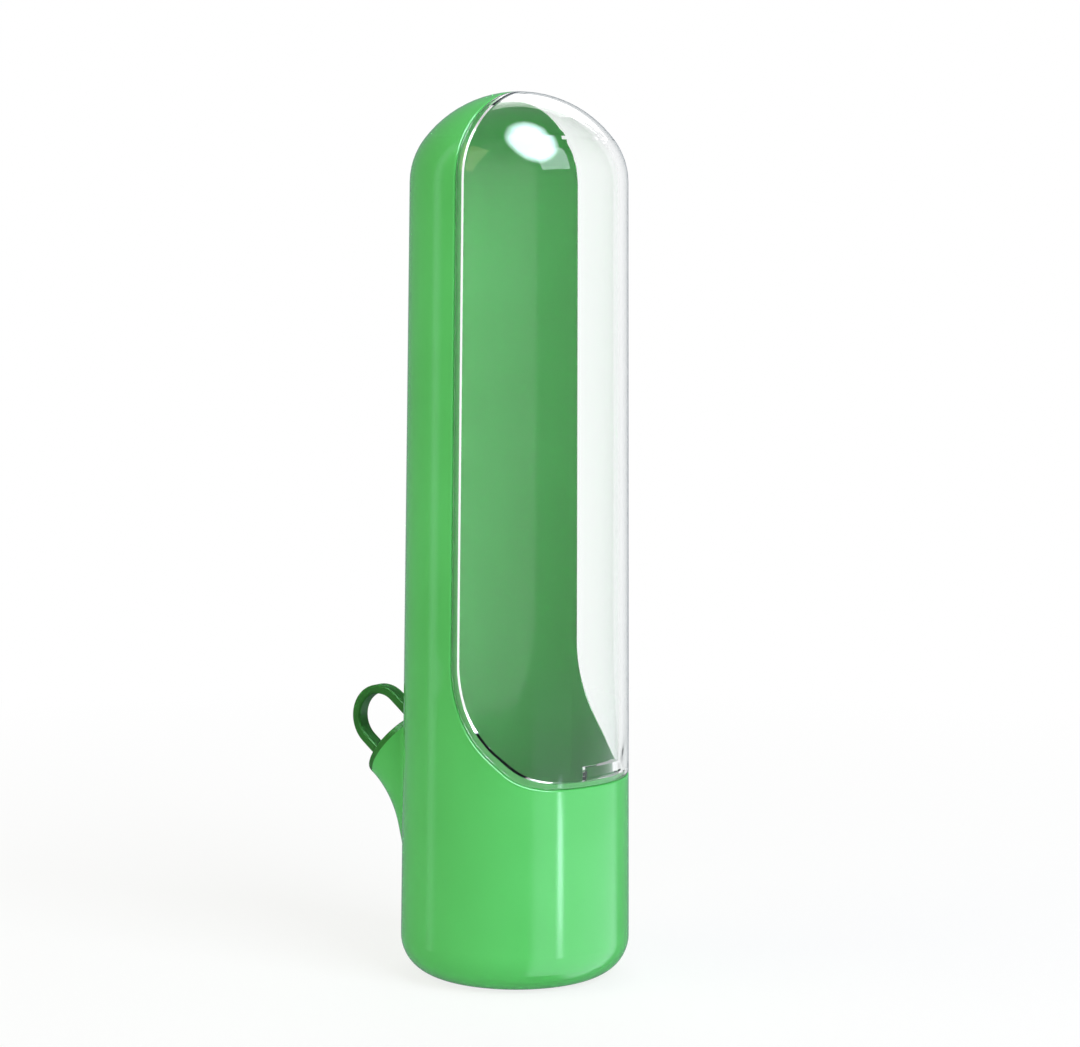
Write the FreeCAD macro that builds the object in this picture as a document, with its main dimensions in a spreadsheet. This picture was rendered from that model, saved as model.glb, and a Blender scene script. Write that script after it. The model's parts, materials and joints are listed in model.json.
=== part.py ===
import FreeCAD, Part
import os
import math
import Sketcher

# Herb keeper: a slim pod that keeps cut herbs standing in water.
# Z is up and the origin is the centre of the base, on the table.
# The clear cover faces -Y, the fill spout and its plug face +Y.

os.makedirs("parts", exist_ok=True)
doc = FreeCAD.newDocument("herb_keeper")
sizes = doc.addObject("Spreadsheet::Sheet", "sizes")

DRIVING = [
    ("height", 236.0),              # table to the top of the dome
    ("base_radius", 31.0),          # tube wall carried down to the table
    ("draft_angle", 0.55),          # the tube narrows upwards, degrees
    ("base_round", 10.0),           # rounded edge at the foot
    ("dome_rise", 24.0),            # height of the dome, from where the tube turns into it
    ("shoulder_radius", 19.0),      # side of the dome, the crown follows from it
    ("wall", 2.4),                  # full wall of housing and cover
    ("tongue_wall", 1.1),           # inner part of the wall, which laps under the cover
    ("tongue_reach", 1.4),          # how far the tongue stands past the edge
    ("edge_gap", 0.3),              # parting gap round the cover
    ("lap_gap", 0.3),               # cover lap to tongue
    ("edge_plane", 0.0),            # y of the upright window edge
    ("rim_height", 54.4),           # front rim of the cup
    ("corner_inset", 5.5),          # window corner's front end, in from the foot's radius
    ("corner_climb", 16.3),         # window corner, middle of its lower curve to its top
    ("upper_reach", 7.5),           # upper curve's radius, more than the corner's depth
    ("lower_reach", 9.5),           # lower curve's radius, less than the corner's depth
    ("edge_round", 0.35),           # softened outer edges of the window and the cover
    ("mouth_reach", 6.9),           # middle of the spout's mouth, out from the foot's radius
    ("mouth_height", 57.3),         # z of the middle of the spout's mouth
    ("spout_tilt", 38.0),           # spout axis above level, degrees
    ("spout_radius", 11.3),         # outside of the spout
    ("spout_wall", 2.0),            # spout wall at the mouth
    ("spout_bend", 34.0),           # bend of the spout's middle line
    ("spout_root_lean", 14.0),      # lean of the root from upright, degrees
    ("spout_root_length", 27.0),    # straight root that sinks into the tube
    ("spout_blend", 3.0),           # fillet where spout meets tube
    ("mouth_step", 0.3),            # mouth plane stops this far short of the mouth's top edge
    ("seam_height", 5.5),           # joint between base dish and tube
    ("floor_thick", 2.6),           # floor of the base dish
    ("spigot_top", 15.0),           # top of the dish's spigot inside the tube
    ("spigot_wall", 1.8),
    ("spigot_gap", 0.1),            # spigot to tube wall
    ("foot_recess_radius", 15.5),   # shallow hollow under the foot
    ("foot_recess_depth", 0.8),
    ("seal_height", 10.0),          # middle of the seal in the spigot
    ("seal_width", 2.2),
    ("seal_depth", 0.9),
    ("seal_gap", 0.05),
    ("hook_depth", 5.0),            # hook below the rim
    ("hook_rise", 5.0),             # hook's root above the rim
    ("hook_wall", 1.4),
    ("hook_angle", 30.0),           # width of the hook as an angle
    ("hook_gap", 0.4),              # hook to the inside of the cup
    ("flange_thick", 1.7),          # plug flange on the mouth
    ("flange_round", 0.5),
    ("plug_gap", 0.5),              # plug barrel to bore
    ("bead_gap", 0.2),              # sealing beads to bore
    ("barrel_length", 8.5),
    ("barrel_wall", 2.0),
    ("bead_height", 1.2),
    ("bead_pitch", 3.0),
    ("ring_radius", 9.2),           # outside of the finger ring's bow
    ("ring_rise", 10.4),            # legs of the ring, from the mouth plane up
    ("ring_shift", 1.2),            # ring's middle above the plug's axis
    ("ring_thick", 2.5),
    ("ring_width", 4.4),
    ("ring_round", 0.7),            # softened edges of the ring
]

# Surfaces of the pod, each at its own depth below the outside.
SKINS = [
    ("outer", "0 * wall"),
    ("inner", "wall"),
    ("tongue", "wall - tongue_wall"),
    ("lap", "wall - tongue_wall - lap_gap"),
]

DERIVED = [
    ("dome_start", "height - dome_rise"),
    ("corner_depth", "base_radius - corner_inset"),
    ("upper_curve", "corner_depth + upper_reach"),
    ("lower_curve", "corner_depth - lower_reach"),
    ("corner_rise", "lower_curve + corner_climb"),
    ("mouth_back", "base_radius + mouth_reach"),
    ("draft_tan", "tan(draft_angle)"),
    ("draft_cos", "cos(draft_angle)"),
    ("draft_sin", "sin(draft_angle)"),
    ("foot_centre", "base_radius - base_round * (draft_tan + 1 / draft_cos)"),
    ("shoulder_centre", "base_radius - dome_start * draft_tan - shoulder_radius / draft_cos"),
    ("crown_radius", "(dome_rise * dome_rise + shoulder_centre * shoulder_centre"
                     " - shoulder_radius * shoulder_radius) / (2 * (dome_rise - shoulder_radius))"),
    ("crown_centre", "height - crown_radius"),
    ("crown_side", "shoulder_centre / (crown_radius - shoulder_radius)"),
    ("crown_up", "(dome_start - crown_centre) / (crown_radius - shoulder_radius)"),
    ("seam_reach", "sqrt(base_round * base_round - (base_round - seam_height)"
                   " * (base_round - seam_height))"),
    ("seam_radius", "foot_centre + seam_reach"),
    ("spigot_radius", "base_radius - spigot_top * draft_tan - wall / draft_cos - spigot_gap"),
    ("spigot_inside", "spigot_radius - spigot_wall"),
    ("floor_round", "base_round - wall"),
    ("seal_low", "seal_height - seal_width / 2"),
    ("seal_high", "seal_height + seal_width / 2"),
    ("seal_floor", "spigot_radius - seal_depth"),
    ("rim_inside", "base_radius - rim_height * draft_tan - wall / draft_cos"),
    ("spout_bore", "spout_radius - spout_wall"),
    ("bend_y", "mouth_back + spout_bend * sin(spout_tilt)"),
    ("bend_z", "mouth_height - spout_bend * cos(spout_tilt)"),
    ("root_bend_y", "bend_y - spout_bend * cos(spout_root_lean)"),
    ("root_bend_z", "bend_z + spout_bend * sin(spout_root_lean)"),
    ("root_y", "root_bend_y - spout_root_length * sin(spout_root_lean)"),
    ("root_z", "root_bend_z - spout_root_length * cos(spout_root_lean)"),
    ("overrun", "spout_radius"),
    ("overrun_y", "mouth_back + overrun * cos(spout_tilt)"),
    ("overrun_z", "mouth_height + overrun * sin(spout_tilt)"),
    ("trim_half", "2 * spout_radius"),
    ("trim_low_y", "mouth_back + trim_half * sin(spout_tilt)"),
    ("trim_low_z", "mouth_height - trim_half * cos(spout_tilt)"),
    ("trim_out_y", "overrun_y + trim_half"),
    ("trim_top_z", "mouth_height + 2 * trim_half"),
    ("trim_wall_y", "mouth_back - spout_radius * sin(spout_tilt) - mouth_step"),
    ("trim_wall_z", "mouth_height + (mouth_back - trim_wall_y) / tan(spout_tilt)"),
    ("bore_length", "(mouth_back - rim_inside) / cos(spout_tilt)"
                    " + 2 * spout_radius * tan(spout_tilt)"),
    ("dish_floor", "foot_recess_depth + floor_thick"),
    ("dish_flat", "spigot_inside - floor_round"),
    ("dish_rise", "dish_floor + floor_round"),
    ("seal_inside", "seal_floor + seal_gap"),
    ("seal_outside", "base_radius - seal_high * draft_tan - wall / draft_cos - seal_gap"),
    ("seal_under", "seal_low + seal_gap"),
    ("seal_over", "seal_high - seal_gap"),
    ("cover_low", "rim_height / 2"),
    ("window_top", "height + wall"),
    ("window_front", "1.5 * base_radius"),
    ("window_low", "cover_low - wall"),
    ("through", "4 * base_radius"),
    ("curve_top", "rim_height + corner_rise"),
    ("upper_centre", "upper_curve - edge_plane"),
    ("lower_centre_z", "rim_height + lower_curve"),
    ("centre_run", "corner_depth - upper_centre"),
    ("centre_drop", "curve_top - lower_centre_z"),
    ("centre_span", "sqrt(centre_run * centre_run + centre_drop * centre_drop)"),
    ("slope_angle", "atan(centre_run / centre_drop)"
                    " + asin((upper_curve - lower_curve) / centre_span)"),
    ("slope_cos", "cos(slope_angle)"),
    ("slope_sin", "sin(slope_angle)"),
    ("hook_outside", "rim_inside - hook_gap"),
    ("hook_inside", "hook_outside - hook_wall"),
    ("hook_root", "base_radius - (rim_height + hook_rise) * draft_tan"
                  " - (wall + lap_depth) / 2 / draft_cos"),
    ("hook_low", "rim_height - hook_depth"),
    ("hook_high", "rim_height + hook_rise"),
    ("hook_step", "rim_height + tongue_reach + 2 * edge_gap"),
    ("barrel_radius", "spout_bore - plug_gap"),
    ("barrel_inside", "barrel_radius - barrel_wall"),
    ("bead_radius", "spout_bore - bead_gap"),
    ("web_under", "barrel_wall"),
    ("bead_middle1", "bead_pitch"),
    ("bead_middle2", "2 * bead_pitch"),
    ("bead_head1", "bead_middle1 - bead_height / 2"),
    ("bead_foot1", "bead_middle1 + bead_height / 2"),
    ("bead_head2", "bead_middle2 - bead_height / 2"),
    ("bead_foot2", "bead_middle2 + bead_height / 2"),
    ("ring_inside", "ring_radius - ring_thick"),
    ("ring_left", "ring_shift + ring_radius"),
    ("ring_right", "ring_radius - ring_shift"),
    ("ring_left_inside", "ring_left - ring_thick"),
    ("ring_right_inside", "ring_right - ring_thick"),
    ("ring_top", "ring_rise + ring_radius"),
    ("ring_top_inside", "ring_rise + ring_inside"),
    ("ring_root", "flange_thick / 2"),
]

# The window's edge, and the same edge moved forward for the tongue and the cover.
EDGES = [
    ("window", "0 * wall"),
    ("parting", "edge_gap"),
    ("tongue_edge", "tongue_reach"),
    ("cover_step", "tongue_reach + edge_gap"),
]


def setSheet():
    row = 0
    for alias, value in DRIVING:
        row += 1
        sizes.set("A%d" % row, alias)
        sizes.set("B%d" % row, str(value))
        sizes.setAlias("B%d" % row, alias)
    formulas = list(DERIVED)
    for name, depth in SKINS:
        formulas += [
            (name + "_depth", depth),
            (name + "_foot_side", "foot_centre + (base_round - %s_depth) * draft_cos" % name),
            (name + "_foot_rise", "base_round + (base_round - %s_depth) * draft_sin" % name),
            (name + "_shoulder_side",
             "shoulder_centre + (shoulder_radius - %s_depth) * draft_cos" % name),
            (name + "_shoulder_rise",
             "dome_start + (shoulder_radius - %s_depth) * draft_sin" % name),
            (name + "_crown_side", "(crown_radius - %s_depth) * crown_side" % name),
            (name + "_crown_rise", "crown_centre + (crown_radius - %s_depth) * crown_up" % name),
            (name + "_top", "height - %s_depth" % name),
            (name + "_shoulder", "shoulder_radius - %s_depth" % name),
            (name + "_crown", "crown_radius - %s_depth" % name),
            (name + "_base_side", "base_radius - %s_depth / draft_cos" % name),
            (name + "_seam_side", "%s_base_side - seam_height * draft_tan" % name),
            (name + "_cover_side", "%s_base_side - cover_low * draft_tan" % name),
        ]
    for name, shift in EDGES:
        formulas += [
            (name + "_shift", shift),
            (name + "_upright", "%s_shift - edge_plane" % name),
            (name + "_rim", "rim_height + %s_shift" % name),
            (name + "_upper", "upper_curve - %s_shift" % name),
            (name + "_lower", "lower_curve - %s_shift" % name),
            (name + "_slope_top", "upper_centre - %s_upper * slope_cos" % name),
            (name + "_slope_top_z", "curve_top - %s_upper * slope_sin" % name),
            (name + "_slope_foot", "corner_depth - %s_lower * slope_cos" % name),
            (name + "_slope_foot_z", "lower_centre_z - %s_lower * slope_sin" % name),
        ]
    for alias, formula in formulas:
        row += 1
        sizes.set("A%d" % row, alias)
        sizes.set("B%d" % row, "=" + formula)
        sizes.setAlias("B%d" % row, alias)
    doc.recompute()


def size(name):
    return float(sizes.get(name))


setSheet()


def plane(body, role):
    for feature in body.Origin.OriginFeatures:
        if feature.Role == role:
            return feature


def newBody(name):
    body = doc.addObject("PartDesign::Body", name)
    body.Label = name
    return body


def newSketch(body, name, role):
    sketch = body.newObject("Sketcher::SketchObject", name)
    sketch.AttachmentSupport = [(plane(body, role), "")]
    sketch.MapMode = "FlatFace"
    return sketch


def coordinate(word):
    if word == "0":
        return 0.0
    if word.startswith("-"):
        return -size(word[1:])
    return size(word)


def pin(sketch, edge, end, corner):
    # One end of an edge is tied to its sizes along both axes.
    for kind, axis, word in (("DistanceX", -2, corner[0]), ("DistanceY", -1, corner[1])):
        if word == "0":
            sketch.addConstraint(Sketcher.Constraint("PointOnObject", edge, end, axis))
            continue
        index = sketch.addConstraint(
            Sketcher.Constraint(kind, -1, 1, edge, end, coordinate(word)))
        bound = "-sizes." + word[1:] if word.startswith("-") else "sizes." + word
        sketch.setExpression("Constraints[%d]" % index, bound)


def draw(sketch, corners, arcs):
    # Closed outline. Corners are pairs of size names, and arcs[i] bows the edge that
    # leaves corner i: its radius name, its rough centre and whether it turns left.
    first_edge = sketch.GeometryCount
    spots = [FreeCAD.Vector(coordinate(a), coordinate(b), 0) for a, b in corners]
    for i, start in enumerate(spots):
        end = spots[(i + 1) % len(spots)]
        if i not in arcs:
            sketch.addGeometry(Part.LineSegment(start, end))
            continue
        radius, centre, left = arcs[i]
        middle = FreeCAD.Vector(centre[0], centre[1], 0)
        first, last = (start, end) if left else (end, start)
        angles = [math.atan2(p.y - middle.y, p.x - middle.x) for p in (first, last)]
        circle = Part.Circle(middle, FreeCAD.Vector(0, 0, 1), size(radius))
        sketch.addGeometry(Part.ArcOfCircle(circle, angles[0], angles[1]))
    for i, corner in enumerate(corners):
        edge = first_edge + i
        begin, finish = (1, 2) if i not in arcs or arcs[i][2] else (2, 1)
        pin(sketch, edge, begin, corner)
        after = (i + 1) % len(corners)
        start = 1 if after not in arcs or arcs[after][2] else 2
        sketch.addConstraint(
            Sketcher.Constraint("Coincident", edge, finish, first_edge + after, start))
        if i in arcs:
            index = sketch.addConstraint(Sketcher.Constraint("Radius", edge, size(arcs[i][0])))
            sketch.setExpression("Constraints[%d]" % index, "sizes." + arcs[i][0])


def revolve(body, name, sketch, angle=360.0, cut=False, middle=False):
    feature = body.newObject("PartDesign::Groove" if cut else "PartDesign::Revolution", name)
    feature.Profile = sketch
    feature.ReferenceAxis = (sketch, ["V_Axis"])
    feature.Angle = angle
    feature.Midplane = middle
    sketch.Visibility = False
    doc.recompute()
    return feature


def pad(body, name, sketch, length, cut=False, middle=True, reverse=False):
    feature = body.newObject("PartDesign::Pocket" if cut else "PartDesign::Pad", name)
    feature.Profile = sketch
    feature.Type = 0
    feature.Length = size(length)
    feature.setExpression("Length", "sizes." + length)
    feature.Midplane = middle
    feature.Reversed = reverse
    sketch.Visibility = False
    doc.recompute()
    return feature


def domeArcs(skin, first):
    # The two bows of a dome: shoulder, then crown.
    return {
        first: (skin + "_shoulder", (size("shoulder_centre"), size("dome_start")), True),
        first + 1: (skin + "_crown", (0, size("crown_centre")), True),
    }


def podSolid(body, name):
    # The whole outside of the pod above the seam, as one solid.
    sketch = newSketch(body, name + "_outline", "XZ_Plane")
    corners = [("0", "seam_height"), ("seam_radius", "seam_height"),
               ("outer_foot_side", "outer_foot_rise"),
               ("outer_shoulder_side", "outer_shoulder_rise"),
               ("outer_crown_side", "outer_crown_rise"), ("0", "outer_top")]
    arcs = {1: ("base_round", (size("foot_centre"), size("base_round")), True)}
    arcs.update(domeArcs("outer", 3))
    draw(sketch, corners, arcs)
    return revolve(body, name, sketch)


def hollow(body, name, skin):
    sketch = newSketch(body, name + "_outline", "XZ_Plane")
    corners = [("0", "0"), (skin + "_base_side", "0"),
               (skin + "_shoulder_side", skin + "_shoulder_rise"),
               (skin + "_crown_side", skin + "_crown_rise"), ("0", skin + "_top")]
    draw(sketch, corners, domeArcs(skin, 2))
    return revolve(body, name, sketch, cut=True)


def layer(body, name, outside, inside, low, side):
    # A skin of the wall between two surfaces, from the height "low" up over the dome.
    sketch = newSketch(body, name + "_outline", "XZ_Plane")
    corners = [(inside + side, low), (outside + side, low),
               (outside + "_shoulder_side", outside + "_shoulder_rise"),
               (outside + "_crown_side", outside + "_crown_rise"), ("0", outside + "_top"),
               ("0", inside + "_top"), (inside + "_crown_side", inside + "_crown_rise"),
               (inside + "_shoulder_side", inside + "_shoulder_rise")]
    arcs = domeArcs(outside, 2)
    arcs[5] = (inside + "_crown", (0, size("crown_centre")), False)
    arcs[6] = (inside + "_shoulder", (size("shoulder_centre"), size("dome_start")), False)
    draw(sketch, corners, arcs)
    return revolve(body, name, sketch)


def windowCut(body, name, edge, keep_front):
    # Cuts along the window's edge: the front away for the housing, the rest for the cover.
    sketch = newSketch(body, name + "_outline", "YZ_Plane")
    upright = "-" + edge + "_upright"
    curve = [(upright, "window_top"), (upright, "curve_top"),
             ("-" + edge + "_slope_top", edge + "_slope_top_z"),
             ("-" + edge + "_slope_foot", edge + "_slope_foot_z"),
             ("-corner_depth", edge + "_rim"), ("-window_front", edge + "_rim")]
    arcs = {
        1: (edge + "_upper", (-size("upper_centre"), size("curve_top")), False),
        3: (edge + "_lower", (-size("corner_depth"), size("lower_centre_z")), False),
    }
    if keep_front:
        curve += [("-window_front", "window_low"), ("window_front", "window_low"),
                  ("window_front", "window_top")]
    else:
        curve += [("-window_front", "window_top")]
    draw(sketch, curve, arcs)
    return pad(body, name, sketch, "through", cut=True)


def tilted(body, name, distance):
    # A sketch across the spout's axis, at a distance out from the mouth.
    sketch = newSketch(body, name, "XY_Plane")
    sketch.AttachmentOffset = FreeCAD.Placement(
        FreeCAD.Vector(0, 0, 0), FreeCAD.Rotation(FreeCAD.Vector(1, 0, 0), -1))
    sketch.setExpression("AttachmentOffset.Rotation.Angle", "sizes.spout_tilt - 90")
    sketch.setExpression("AttachmentOffset.Base.y",
                         "sizes.mouth_back + (%s) * cos(sizes.spout_tilt)" % distance)
    sketch.setExpression("AttachmentOffset.Base.z",
                         "sizes.mouth_height + (%s) * sin(sizes.spout_tilt)" % distance)
    return sketch


def circle(sketch, radius):
    index = sketch.addGeometry(
        Part.Circle(FreeCAD.Vector(0, 0, 0), FreeCAD.Vector(0, 0, 1), size(radius)))
    sketch.addConstraint(Sketcher.Constraint("Coincident", index, 3, -1, 1))
    bound = sketch.addConstraint(Sketcher.Constraint("Radius", index, size(radius)))
    sketch.setExpression("Constraints[%d]" % bound, "sizes." + radius)


def wallEdges(shape):
    # The edges where the spout leaves the tube's wall.
    names = []
    for number, edge in enumerate(shape.Edges, 1):
        if edge.Degenerated:
            continue
        points = edge.discretize(9)[1:-1]
        slips = [abs(math.hypot(p.x, p.y) - size("base_radius") + p.z * size("draft_tan"))
                 for p in points]
        level = max(p.z for p in points) - min(p.z for p in points) < 0.01
        low = max(p.z for p in points) < size("curve_top")
        if max(slips) < 0.01 and low and not level:
            names.append("Edge%d" % number)
    return names


def depthUnderSkin(point):
    # How far a point lies below the pod's outside, on the tube and on the dome.
    side = math.hypot(point.x, point.y)
    rise = point.z - size("dome_start")
    if rise <= 0:
        return (size("base_radius") - point.z * size("draft_tan") - side) * size("draft_cos")
    if side * size("crown_up") > (point.z - size("crown_centre")) * size("crown_side"):
        return size("shoulder_radius") - math.hypot(side - size("shoulder_centre"), rise)
    return size("crown_radius") - math.hypot(side, point.z - size("crown_centre"))


def windowEdges(shape, edge):
    # The outer edges along the window, named by the edge they were cut with.
    names = []
    for number, candidate in enumerate(shape.Edges, 1):
        if candidate.Degenerated:
            continue
        points = candidate.discretize(9)
        on_skin = max(abs(depthUnderSkin(p)) for p in points) < 0.01
        behind = max(p.y for p in points) < 0.01 - size(edge + "_upright")
        level = max(p.z for p in points) - min(p.z for p in points) < 0.01
        seam = level and points[0].z > size(edge + "_rim") + 0.01
        above = min(p.z for p in points) > size(edge + "_rim") - 0.01
        if on_skin and behind and above and not seam:
            names.append("Edge%d" % number)
    return names


def soften(body, name, feature, edges, radius):
    fillet = body.newObject("PartDesign::Fillet", name)
    fillet.Base = (feature, edges)
    fillet.Radius = size(radius)
    fillet.setExpression("Radius", "sizes." + radius)
    doc.recompute()
    return fillet


def makeHousing():
    body = newBody("housing")
    podSolid(body, "pod_form")
    section = tilted(body, "spout_section", "sizes.overrun")
    circle(section, "spout_radius")
    path = newSketch(body, "spout_path", "YZ_Plane")
    spots = [("overrun_y", "overrun_z"), ("mouth_back", "mouth_height"),
             ("root_bend_y", "root_bend_z"), ("root_y", "root_z")]
    points = [FreeCAD.Vector(size(a), size(b), 0) for a, b in spots]
    centre = FreeCAD.Vector(size("bend_y"), size("bend_z"), 0)
    angles = [math.atan2(p.y - centre.y, p.x - centre.x) for p in points[1:3]]
    path.addGeometry(Part.LineSegment(points[0], points[1]))
    bend = Part.Circle(centre, FreeCAD.Vector(0, 0, 1), size("spout_bend"))
    path.addGeometry(Part.ArcOfCircle(bend, angles[0], angles[1]))
    path.addGeometry(Part.LineSegment(points[2], points[3]))
    pin(path, 0, 1, spots[0])
    pin(path, 1, 1, spots[1])
    pin(path, 1, 2, spots[2])
    pin(path, 2, 2, spots[3])
    path.addConstraint(Sketcher.Constraint("Coincident", 0, 2, 1, 1))
    path.addConstraint(Sketcher.Constraint("Coincident", 2, 1, 1, 2))
    index = path.addConstraint(Sketcher.Constraint("Radius", 1, size("spout_bend")))
    path.setExpression("Constraints[%d]" % index, "sizes.spout_bend")
    doc.recompute()
    spout = body.newObject("PartDesign::AdditivePipe", "spout")
    spout.Profile = section
    spout.Spine = (path, ["Edge1", "Edge2", "Edge3"])
    doc.recompute()
    soften(body, "spout_blend_fillet", spout, wallEdges(spout.Shape), "spout_blend")
    trim = newSketch(body, "mouth_plane", "YZ_Plane")
    draw(trim, [("trim_low_y", "trim_low_z"), ("trim_out_y", "trim_low_z"),
                ("trim_out_y", "trim_top_z"), ("trim_wall_y", "trim_top_z"),
                ("trim_wall_y", "trim_wall_z")], {})
    pad(body, "mouth_trim", trim, "through", cut=True)
    windowCut(body, "window", "window", False)
    hollow(body, "tongue_bore", "tongue")
    layer(body, "tongue_skin", "tongue", "inner", "seam_height", "_seam_side")
    windowCut(body, "tongue_window", "tongue_edge", False)
    bore = tilted(body, "bore_circle", "0")
    circle(bore, "spout_bore")
    drilled = pad(body, "bore", bore, "bore_length", cut=True, middle=False)
    soften(body, "window_edge_round", drilled, windowEdges(drilled.Shape, "window"), "edge_round")
    return body


def makeBaseDish():
    body = newBody("base_dish")
    sketch = newSketch(body, "dish_outline", "XZ_Plane")
    corners = [("0", "foot_recess_depth"), ("foot_recess_radius", "foot_recess_depth"),
               ("foot_recess_radius", "0"), ("foot_centre", "0"),
               ("seam_radius", "seam_height"), ("spigot_radius", "seam_height"),
               ("spigot_radius", "seal_low"), ("seal_floor", "seal_low"),
               ("seal_floor", "seal_high"), ("spigot_radius", "seal_high"),
               ("spigot_radius", "spigot_top"), ("spigot_inside", "spigot_top"),
               ("spigot_inside", "dish_rise"), ("dish_flat", "dish_floor"),
               ("0", "dish_floor")]
    arcs = {
        3: ("base_round", (size("foot_centre"), size("base_round")), True),
        12: ("floor_round", (size("dish_flat"), size("dish_rise")), False),
    }
    draw(sketch, corners, arcs)
    revolve(body, "dish", sketch)
    return body


def makeSeal():
    body = newBody("base_seal")
    sketch = newSketch(body, "seal_outline", "XZ_Plane")
    draw(sketch, [("seal_inside", "seal_under"), ("seal_outside", "seal_under"),
                  ("seal_outside", "seal_over"), ("seal_inside", "seal_over")], {})
    revolve(body, "seal_ring", sketch)
    return body


def makeCover():
    body = newBody("front_cover")
    layer(body, "cover_inner", "lap", "inner", "cover_low", "_cover_side")
    windowCut(body, "step_edge", "cover_step", True)
    layer(body, "cover_outer", "outer", "lap", "cover_low", "_cover_side")
    windowCut(body, "outer_edge", "parting", True)
    sketch = newSketch(body, "hook_outline", "YZ_Plane")
    draw(sketch, [("-hook_inside", "hook_low"), ("-hook_outside", "hook_low"),
                  ("-hook_outside", "hook_step"), ("-hook_root", "hook_step"),
                  ("-hook_root", "hook_high"), ("-hook_inside", "hook_high")], {})
    hook = revolve(body, "hook", sketch, angle=size("hook_angle"), middle=True)
    hook.setExpression("Angle", "sizes.hook_angle")
    doc.recompute()
    soften(body, "cover_edge_round", hook, windowEdges(hook.Shape, "parting"), "edge_round")
    return body


def ringEdges(shape):
    # The long edges on both sides of the finger ring.
    names = []
    for number, edge in enumerate(shape.Edges, 1):
        points = edge.discretize(5)
        beside = max(abs(abs(p.x) - size("ring_width") / 2) for p in points) < 0.01
        if beside and max(p.z for p in points) > size("flange_thick") + 0.01:
            names.append("Edge%d" % number)
    return names


def rimEdges(shape, radius, height):
    # The circle of a turned part at a radius and a height.
    names = []
    for number, edge in enumerate(shape.Edges, 1):
        points = edge.discretize(5)
        if max(abs(math.hypot(p.x, p.y) - size(radius)) for p in points) < 0.01 \
                and max(abs(p.z - size(height)) for p in points) < 0.01:
            names.append("Edge%d" % number)
    return names


def makePlug():
    body = newBody("fill_plug")
    sketch = newSketch(body, "plug_outline", "XZ_Plane")
    corners = [("0", "-web_under"), ("barrel_inside", "-web_under"),
               ("barrel_inside", "-barrel_length"), ("barrel_radius", "-barrel_length")]
    for number in (2, 1):
        corners += [("barrel_radius", "-bead_foot%d" % number),
                    ("bead_radius", "-bead_middle%d" % number),
                    ("barrel_radius", "-bead_head%d" % number)]
    corners += [("barrel_radius", "0"), ("spout_radius", "0"),
                ("spout_radius", "flange_thick"), ("0", "flange_thick")]
    draw(sketch, corners, {})
    stopper = revolve(body, "stopper", sketch)
    soften(body, "flange_rim_round", stopper,
           rimEdges(stopper.Shape, "spout_radius", "flange_thick"), "flange_round")
    ring = newSketch(body, "ring_outline", "YZ_Plane")
    middle = (-size("ring_shift"), size("ring_rise"))
    for side, radius, foot in (("", "ring_radius", "ring_root"),
                               ("_inside", "ring_inside", "flange_thick")):
        right, left, top = ("ring_right" + side, "-ring_left" + side, "ring_top" + side)
        draw(ring, [(right, foot), (right, "ring_rise"), ("-ring_shift", top),
                    (left, "ring_rise"), (left, foot)],
             {1: (radius, middle, True), 2: (radius, middle, True)})
    loop = pad(body, "finger_ring", ring, "ring_width")
    soften(body, "ring_edge_round", loop, ringEdges(loop.Shape), "ring_round")
    body.Placement = FreeCAD.Placement(
        FreeCAD.Vector(0, 0, 0), FreeCAD.Rotation(FreeCAD.Vector(1, 0, 0), -1))
    body.setExpression("Placement.Rotation.Angle", "sizes.spout_tilt - 90")
    body.setExpression("Placement.Base.y", "sizes.mouth_back")
    body.setExpression("Placement.Base.z", "sizes.mouth_height")
    doc.recompute()
    return body


def writeParts(bodies):
    doc.recompute()
    broken = [o.Name for o in doc.Objects if "Invalid" in o.State or "Error" in o.State]
    if broken:
        raise RuntimeError("these objects failed: " + ", ".join(broken))
    for body in bodies:
        shape = body.Shape
        if shape.isNull() or not shape.isValid() or shape.Volume <= 0:
            raise RuntimeError(body.Label + " has no valid solid")
        print(body.Label, "solids", len(shape.Solids), "volume", round(shape.Volume, 1))
        shape.exportStep("parts/" + body.Label + ".step")


writeParts([makeHousing(), makeBaseDish(), makeSeal(), makeCover(), makePlug()])
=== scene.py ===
import bpy, json, math
from mathutils import Matrix, Vector

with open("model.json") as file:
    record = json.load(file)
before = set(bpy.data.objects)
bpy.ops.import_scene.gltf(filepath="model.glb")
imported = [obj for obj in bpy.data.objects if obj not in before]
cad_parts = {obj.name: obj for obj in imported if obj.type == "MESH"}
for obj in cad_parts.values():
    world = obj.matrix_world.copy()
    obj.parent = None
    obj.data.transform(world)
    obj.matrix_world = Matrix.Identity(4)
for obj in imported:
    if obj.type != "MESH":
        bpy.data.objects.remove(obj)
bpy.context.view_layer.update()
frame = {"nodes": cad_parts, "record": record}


print("frame loaded:", ", ".join(sorted(frame["nodes"])))


def colour(red, green, blue):
    # A colour read as eight-bit screen values, as the shader wants it.
    def level(step):
        part = step / 255
        return part / 12.92 if part < 0.04045 else ((part + 0.055) / 1.055) ** 2.4
    return (level(red), level(green), level(blue), 1)


def grey(level):
    # A shader's own grey, where 1 is white.
    return (level, level, level, 1)


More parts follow.
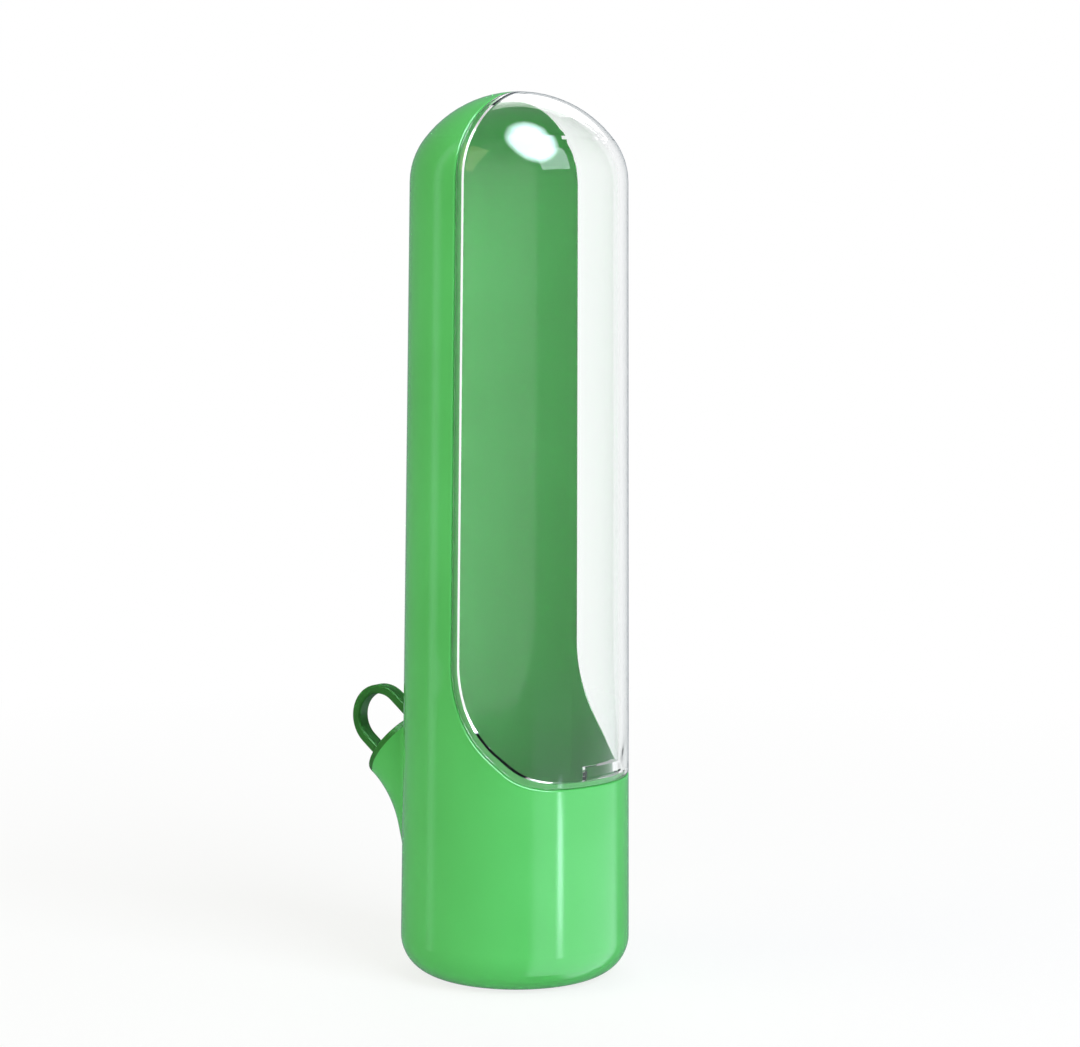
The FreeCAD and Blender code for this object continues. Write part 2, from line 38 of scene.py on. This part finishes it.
# A socket of a node tree that takes part in plain arithmetic.
class Value:
    def __init__(self, finish, socket):
        self.finish = finish
        self.socket = socket

    def __add__(self, other):
        return self.finish.sum("ADD", self, other)

    def __radd__(self, other):
        return self.finish.sum("ADD", other, self)

    def __sub__(self, other):
        return self.finish.sum("SUBTRACT", self, other)

    def __rsub__(self, other):
        return self.finish.sum("SUBTRACT", other, self)

    def __mul__(self, other):
        return self.finish.sum("MULTIPLY", self, other)

    def __rmul__(self, other):
        return self.finish.sum("MULTIPLY", other, self)

    def __pow__(self, other):
        return self.finish.sum("POWER", self, other)


# The node tree of a new material, or of the world where one is given.
class Finish:
    def __init__(self, name, world=None):
        self.owner = world or bpy.data.materials.new(name)
        self.owner.use_nodes = True
        self.tree = self.owner.node_tree
        self.tree.nodes.clear()
        kind = "ShaderNodeOutputWorld" if world else "ShaderNodeOutputMaterial"
        self.output = self.tree.nodes.new(kind)

    def node(self, kind, settings=None, sockets=None, out=0):
        made = self.tree.nodes.new(kind)
        for name, value in (settings or {}).items():
            if name == "stops":
                self.setStops(made.color_ramp, value)
            else:
                setattr(made, name, value)
        for name, value in (sockets or {}).items():
            if isinstance(value, Value):
                self.tree.links.new(value.socket, made.inputs[name])
            else:
                made.inputs[name].default_value = value
        return Value(self, made.outputs[out])

    def setStops(self, ramp, stops):
        for element, (place, level) in zip(ramp.elements, stops):
            element.position = place
            element.color = grey(level)

    def sum(self, operation, first, second=0):
        return self.node("ShaderNodeMath", {"operation": operation}, {0: first, 1: second})

    def ramp(self, value, stops):
        # Two stops, each a place from 0 to 1 and the level there.
        return self.node("ShaderNodeValToRGB", {"stops": stops}, {"Fac": value})

    def objectPlace(self):
        return self.node("ShaderNodeTexCoord", out="Object")

    def noise(self, scale, detail, stretch=(1, 1, 1), rough=0.5):
        # A stretch below 1 draws the pattern out along that axis.
        where = self.node("ShaderNodeMapping", {},
                          {"Vector": self.objectPlace(), "Scale": stretch})
        return self.node("ShaderNodeTexNoise", {},
                         {"Vector": where, "Scale": scale, "Detail": detail, "Roughness": rough})

    def patches(self, start, full, **grain):
        # Noise cut into soft patches: none below start, whole above full.
        return self.ramp(self.noise(**grain), [(start, 0), (full, 1)])

    def height(self):
        return self.node("ShaderNodeSeparateXYZ", {}, {0: self.objectPlace()}, out="Z")

    def blend(self, factor, first, second):
        # Sockets 6 and 7 are the two colours of a Mix node.
        return self.node("ShaderNodeMix", {"data_type": "RGBA"}, {0: factor, 6: first, 7: second},
                         out=2)

    def choose(self, flag, otherwise, chosen):
        # Sockets 2 and 3 are the two numbers of a Mix node.
        return self.node("ShaderNodeMix", {"data_type": "FLOAT"},
                         {0: flag, 2: otherwise, 3: chosen})

    def scaled(self, vector, factor):
        return self.node("ShaderNodeVectorMath", {"operation": "SCALE"},
                         {0: vector, "Scale": factor})

    def rayIs(self, kind):
        return self.node("ShaderNodeLightPath", out="Is " + kind + " Ray")

    def bump(self, heightMap, strength, distance):
        return self.node("ShaderNodeBump", {},
                         {"Height": heightMap, "Strength": strength, "Distance": distance})

    def surface(self, sockets):
        self.finishWith(self.node("ShaderNodeBsdfPrincipled", {}, sockets))
        return self.owner

    def finishWith(self, shader):
        self.tree.links.new(shader.socket, self.output.inputs["Surface"])


# Glossy moulded plastic: faint clouds in the green, fine scuffs that run up the pod, and a worn
# edge within footHeight of the table. Heights and depths are in metres.
greenShell = {
    "body": colour(92, 199, 102),
    "deep": colour(86, 191, 94),
    "cloud": {"scale": 22, "detail": 2, "start": 0.35, "full": 0.65},
    "roughness": 0.13,
    "scuffRoughness": 0.08,
    "scuffs": {"scale": 260, "detail": 6, "stretch": (1, 1, 0.25), "rough": 0.65,
               "start": 0.56, "full": 0.72},
    "footRoughness": 0.12,
    "footHeight": 0.006,
    "ior": 1.5,
    "orangePeel": {"scale": 900, "detail": 2},
    "peelStrength": 0.25,
    "peelDepth": 0.00002,
}


def greenShellFinish():
    look = greenShell
    f = Finish("green_shell")
    cloud = f.patches(**look["cloud"])
    scuffs = f.patches(**look["scuffs"]) * look["scuffRoughness"]
    worn = f.ramp(f.height() * (1 / look["footHeight"]), [(0, 1), (1, 0)]) * look["footRoughness"]
    peel = f.noise(**look["orangePeel"])
    return f.surface({
        "Base Color": f.blend(cloud, look["body"], look["deep"]),
        "Roughness": look["roughness"] + scuffs + worn,
        "IOR": look["ior"],
        "Normal": f.bump(peel, look["peelStrength"], look["peelDepth"]),
    })


# Clear moulded plastic, with long flow marks and a few hazy patches.
clearShell = {
    "tint": colour(254, 254, 254),
    "flowTint": colour(247, 250, 249),
    "flow": {"scale": 14, "detail": 3, "stretch": (1, 1, 0.2), "start": 0.3, "full": 0.7},
    "roughness": 0.012,
    "hazeRoughness": 0.03,
    "haze": {"scale": 400, "detail": 5, "rough": 0.7, "start": 0.6, "full": 0.8},
    "ior": 1.46,
}


def clearShellFinish():
    look = clearShell
    f = Finish("clear_shell")
    flow = f.patches(**look["flow"])
    haze = f.patches(**look["haze"])
    return f.surface({
        "Base Color": f.blend(flow, look["tint"], look["flowTint"]),
        "Roughness": look["roughness"] + haze * look["hazeRoughness"],
        "Transmission Weight": 1.0,
        "IOR": look["ior"],
    })


# Satin silicone of the plug, with a fine dusty grain.
greenSilicone = {
    "body": colour(34, 106, 30),
    "worn": colour(46, 122, 40),
    "cloud": {"scale": 90, "detail": 3, "start": 0.35, "full": 0.7},
    "roughness": 0.42,
    "dustRoughness": 0.14,
    "dust": {"scale": 1500, "detail": 4, "rough": 0.7},
    "dustStrength": 0.3,
    "dustDepth": 0.00003,
    "ior": 1.42,
}


def greenSiliconeFinish():
    look = greenSilicone
    f = Finish("green_silicone")
    cloud = f.patches(**look["cloud"])
    dust = f.noise(**look["dust"])
    return f.surface({
        "Base Color": f.blend(cloud, look["body"], look["worn"]),
        "Roughness": look["roughness"] + dust * look["dustRoughness"],
        "IOR": look["ior"],
        "Normal": f.bump(dust, look["dustStrength"], look["dustDepth"]),
    })


# Pale, slightly milky silicone of the seal. Light goes milkyDepth metres into it.
sealSilicone = {
    "body": colour(205, 210, 205),
    "milky": colour(188, 196, 190),
    "cloud": {"scale": 120, "detail": 3, "start": 0.35, "full": 0.7},
    "roughness": 0.4,
    "dustRoughness": 0.15,
    "dust": {"scale": 900, "detail": 3},
    "ior": 1.42,
    "milkyWeight": 0.2,
    "milkyDepth": 0.002,
}


def sealSiliconeFinish():
    look = sealSilicone
    f = Finish("seal_silicone")
    cloud = f.patches(**look["cloud"])
    dust = f.noise(**look["dust"])
    return f.surface({
        "Base Color": f.blend(cloud, look["body"], look["milky"]),
        "Roughness": look["roughness"] + dust * look["dustRoughness"],
        "IOR": look["ior"],
        "Subsurface Weight": look["milkyWeight"],
        "Subsurface Scale": look["milkyDepth"],
    })


finishes = {
    "green_shell": greenShellFinish(),
    "clear_shell": clearShellFinish(),
    "green_silicone": greenSiliconeFinish(),
    "seal_silicone": sealSiliconeFinish(),
}
for part in frame["record"]["subparts"]:
    piece = frame["nodes"][part["node"]]
    piece.data.materials.clear()
    piece.data.materials.append(finishes[part["material_slot"]])
print("finishes made:", len(finishes))


# The camera, fitted to the photograph: angles in degrees, lengths in metres, the lens and the
# middle of the view in pixels of width x height, and the sensor in millimetres.
view = {
    "azimuth": -55.169,
    "elevation": 5.038,
    "roll": -0.319,
    "distance": 0.723333,
    "aimHeight": 0.124,
    "focalPixels": 2700.8,
    "middleX": 517.2,
    "middleY": 513.9,
    "width": 1080,
    "height": 1047,
    "sensor": 36.0,
    "nearest": 0.01,
    "farthest": 50,
}


def heading(azimuth, elevation):
    # The way out from the pod: azimuth 0 faces the clear cover, in degrees.
    a, e = math.radians(azimuth), math.radians(elevation)
    return Vector((math.sin(a) * math.cos(e), -math.cos(a) * math.cos(e), math.sin(e)))


def outFromPod(way, distance):
    # A point that far out along a way, from the height that the camera aims at.
    return Vector((0, 0, view["aimHeight"])) + way * distance


def makeCamera():
    azimuth, roll = math.radians(view["azimuth"]), math.radians(view["roll"])
    back = heading(view["azimuth"], view["elevation"])
    right = Vector((math.cos(azimuth), math.sin(azimuth), 0))
    up = back.cross(right)
    turnedRight = right * math.cos(roll) - up * math.sin(roll)
    turnedUp = right * math.sin(roll) + up * math.cos(roll)
    data = bpy.data.cameras.new("camera")
    data.sensor_width = view["sensor"]
    data.lens = view["focalPixels"] / view["width"] * view["sensor"]
    data.shift_x = (view["width"] / 2 - view["middleX"]) / view["width"]
    data.shift_y = (view["middleY"] - view["height"] / 2) / view["width"]
    data.clip_start = view["nearest"]
    data.clip_end = view["farthest"]
    camera = bpy.data.objects.new("camera", data)
    turn = Matrix((turnedRight, turnedUp, back)).transposed().to_4x4()
    camera.matrix_world = Matrix.Translation(outFromPod(back, view["distance"])) @ turn
    bpy.context.scene.collection.objects.link(camera)
    bpy.context.scene.camera = camera


makeCamera()
print("camera set")


# Square softboxes around the pod: angles in degrees, lengths in metres.
lamps = {
    "key": {"azimuth": -12, "elevation": 38, "distance": 1.4, "size": 0.8, "watts": 15.5,
            "tint": (0.93, 1.0, 1.12)},
    "fill": {"azimuth": -125, "elevation": 35, "distance": 1.6, "size": 1.0, "watts": 6.5,
             "tint": (1.0, 0.96, 0.45)},
    "rim": {"azimuth": 120, "elevation": 40, "distance": 1.6, "size": 1.0, "watts": 5.0,
            "tint": (1.0, 1.0, 1.0)},
}


def areaLamp(name, look):
    data = bpy.data.lights.new(name, "AREA")
    data.size = look["size"]
    data.energy = look["watts"]
    data.color = look["tint"]
    lamp = bpy.data.objects.new(name, data)
    lamp.visible_glossy = False
    away = heading(look["azimuth"], look["elevation"])
    lamp.location = outFromPod(away, look["distance"])
    lamp.rotation_euler = away.to_track_quat("Z", "Y").to_euler()
    bpy.context.scene.collection.objects.link(lamp)


for name, look in lamps.items():
    areaLamp(name, look)


# What the glossy and clear surfaces see of the room. Directions, half widths and soft edges are in
# degrees, but the lamp's soft edge is a share of its half widths. Levels are set against the white
# backdrop. cardFull and cardEnd are sines of the angle up or down from level.
room = {
    "seenLevel": 1.0,
    "diffuseLevel": 0.42,
    "glossLevel": 0.30,
    "glossTint": (0.84, 1.0, 1.12, 1),
    "cardLevel": 1.09,
    "cardFull": 0.35,
    "cardEnd": 0.75,
    "ceilingLevel": 0.42,
    "lowStrip": {"azimuth": -9.4, "rise": -11.2, "half": (2.5, 1.3), "soft": (0.9, 0.4),
                 "level": 17.0},
    "sideStrip": {"azimuth": -150, "rise": 18, "half": (5.0, 32.0), "soft": (3.0, 6.0),
                  "level": 0.9},
    "table": {"azimuth": 15, "rise": -36, "half": (52.65, 26), "soft": (4.65, 3.0), "level": 1.9},
    "lamp": {"azimuth": -32, "elevation": 60, "half": (19, 29), "soft": 0.16, "level": 30.0},
}


def makeWorld():
    world = bpy.data.worlds.new("studio")
    bpy.context.scene.world = world
    f = Finish("studio", world)
    toward = f.node("ShaderNodeTexCoord", out="Generated")
    x, y, z = (f.node("ShaderNodeSeparateXYZ", {}, {0: toward}, out=axis) for axis in "XYZ")
    azimuth = f.sum("ARCTAN2", x, 0 - y)
    rise = f.sum("ARCSINE", z)

    def facing(direction):
        return f.node("ShaderNodeVectorMath", {"operation": "DOT_PRODUCT"},
                      {0: toward, 1: direction}, out="Value")

    def band(value, middle, half, soft):
        # 1 around the middle and 0 beyond. A ramp ends at 1 radian, so half + soft is 57.3 at most.
        off = f.sum("ABSOLUTE", value - math.radians(middle))
        near, far = (math.radians(edge) for edge in (half - soft, half + soft))
        return f.ramp(off, [(near, 1), (far, 0)])

    def box(look):
        across = band(azimuth, look["azimuth"], look["half"][0], look["soft"][0])
        upright = band(rise, look["rise"], look["half"][1], look["soft"][1])
        return across * upright * look["level"]

    def oval(look):
        ahead = heading(look["azimuth"], look["elevation"])
        above = heading(look["azimuth"], look["elevation"] + 90)
        across, along = (facing(way) * (1 / math.sin(math.radians(half)))
                         for way, half in zip((ahead.cross(above), above), look["half"]))
        # The reach is 1 at the oval's edge, and is halved to lie inside the ramp.
        reach = (across * across + along * along) ** 0.5
        inner, outer = 1 - look["soft"], 1 + look["soft"]
        inside = f.ramp(reach * 0.5, [(inner / 2, 1), (outer / 2, 0)])
        front = f.sum("GREATER_THAN", facing(ahead))
        return inside * front * look["level"]

    gloss = oval(room["lamp"])
    for name in ("lowStrip", "sideStrip", "table"):
        gloss = gloss + box(room[name])
    gloss = gloss + room["glossLevel"]
    card = f.ramp(f.sum("ABSOLUTE", z), [(room["cardFull"], 1), (room["cardEnd"], 0)])
    through = card * (room["cardLevel"] - room["ceilingLevel"]) + room["ceilingLevel"]
    isGlossy, isThrough = f.rayIs("Glossy"), f.rayIs("Transmission")
    level = f.choose(isGlossy, room["diffuseLevel"], gloss)
    level = f.choose(isThrough, level, through)
    level = f.choose(f.rayIs("Camera"), level, room["seenLevel"])
    tint = f.blend(isGlossy * (1 - isThrough), grey(1), room["glossTint"])
    f.finishWith(f.node("ShaderNodeBackground", {}, {"Color": f.scaled(tint, level)}))


# White paper that goes reach metres to each side. Seen directly or through the cover it glows,
# wholly from fadeTo metres out, so that its edge is lost in the backdrop.
floorLook = {
    "reach": 3.0,
    "paper": grey(0.86),
    "glow": 0.8,
    "fadeFrom": 0.12,
    "fadeTo": 0.5,
}


def makeFloor():
    look = floorLook
    reach = look["reach"]
    data = bpy.data.meshes.new("floor")
    data.from_pydata([(-reach, -reach, 0), (reach, -reach, 0), (reach, reach, 0), (-reach, reach, 0)],
                     [], [(0, 1, 2, 3)])
    floor = bpy.data.objects.new("floor", data)
    bpy.context.scene.collection.objects.link(floor)
    floor.visible_glossy = False
    f = Finish("floor")
    far = f.node("ShaderNodeVectorMath", {"operation": "LENGTH"}, {0: f.objectPlace()},
                 out="Value")
    fade = f.ramp(far, [(look["fadeFrom"], 0), (look["fadeTo"], 1)])
    isThrough = f.rayIs("Transmission")
    seen = f.sum("MAXIMUM", f.rayIs("Camera"), isThrough)
    mix = seen * (look["glow"] + fade * (1 - look["glow"]))
    paper = f.node("ShaderNodeBsdfDiffuse", {}, {"Color": look["paper"]})
    glow = f.node("ShaderNodeEmission", {},
                  {"Color": f.blend(isThrough, grey(1), grey(room["cardLevel"]))})
    f.finishWith(f.node("ShaderNodeMixShader", {}, {0: mix, 1: paper, 2: glow}))
    data.materials.append(f.owner)


makeWorld()
makeFloor()
bpy.context.scene.view_settings.view_transform = "Standard"
print("studio set")
